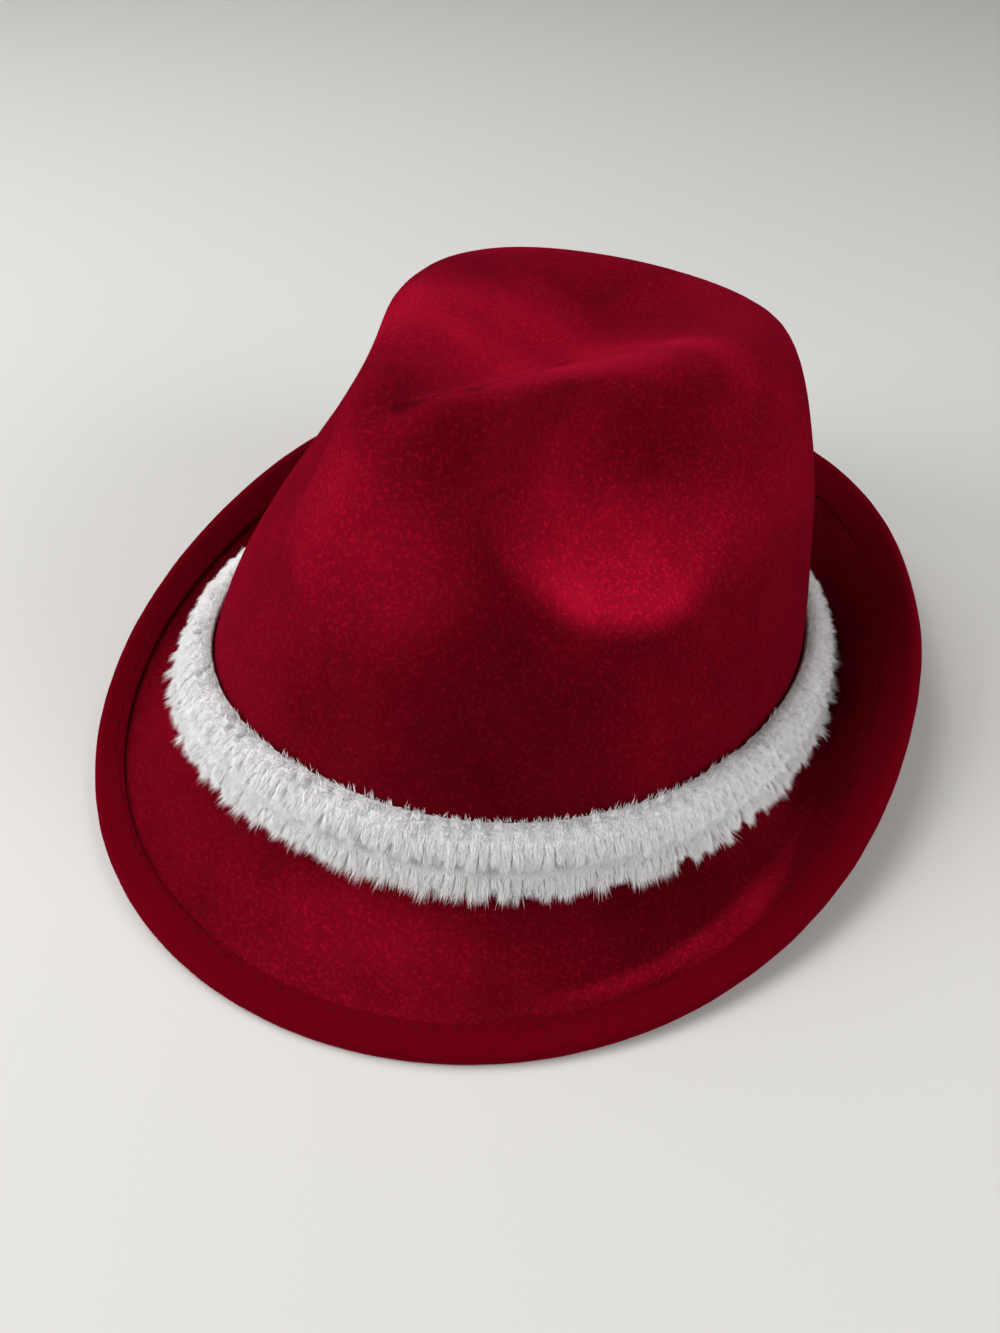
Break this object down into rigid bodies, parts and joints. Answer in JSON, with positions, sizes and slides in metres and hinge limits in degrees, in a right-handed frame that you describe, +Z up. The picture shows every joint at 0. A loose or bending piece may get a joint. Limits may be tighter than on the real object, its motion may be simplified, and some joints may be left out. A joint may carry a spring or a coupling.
{
  "type": "santa hat",
  "caption": "Trilby-shaped festive hat in red velour: pinched teardrop crown, brim turned up at the back, velvet-bound edge and white plush band.",
  "frame": {"origin": "centre of the hat's outline in X and Y, at the height of the table it lies on", "axes": "+Z up, front of the hat towards -Y, wearer's left towards +X; apart from the deeper pinch on the left its halves mirror across X = 0"},
  "size_m": [0.2414, 0.2852, 0.1295],
  "materials": {
    "red_velour": "shiny crimson knit velour",
    "red_velvet": "matte crimson velvet",
    "white_plush": "soft white plush pile"
  },
  "bodies": {
    "root": {"hat_body": "red_velour", "brim_binding": "red_velvet", "fur_band": "white_plush"}
  },
  "joints": []
}
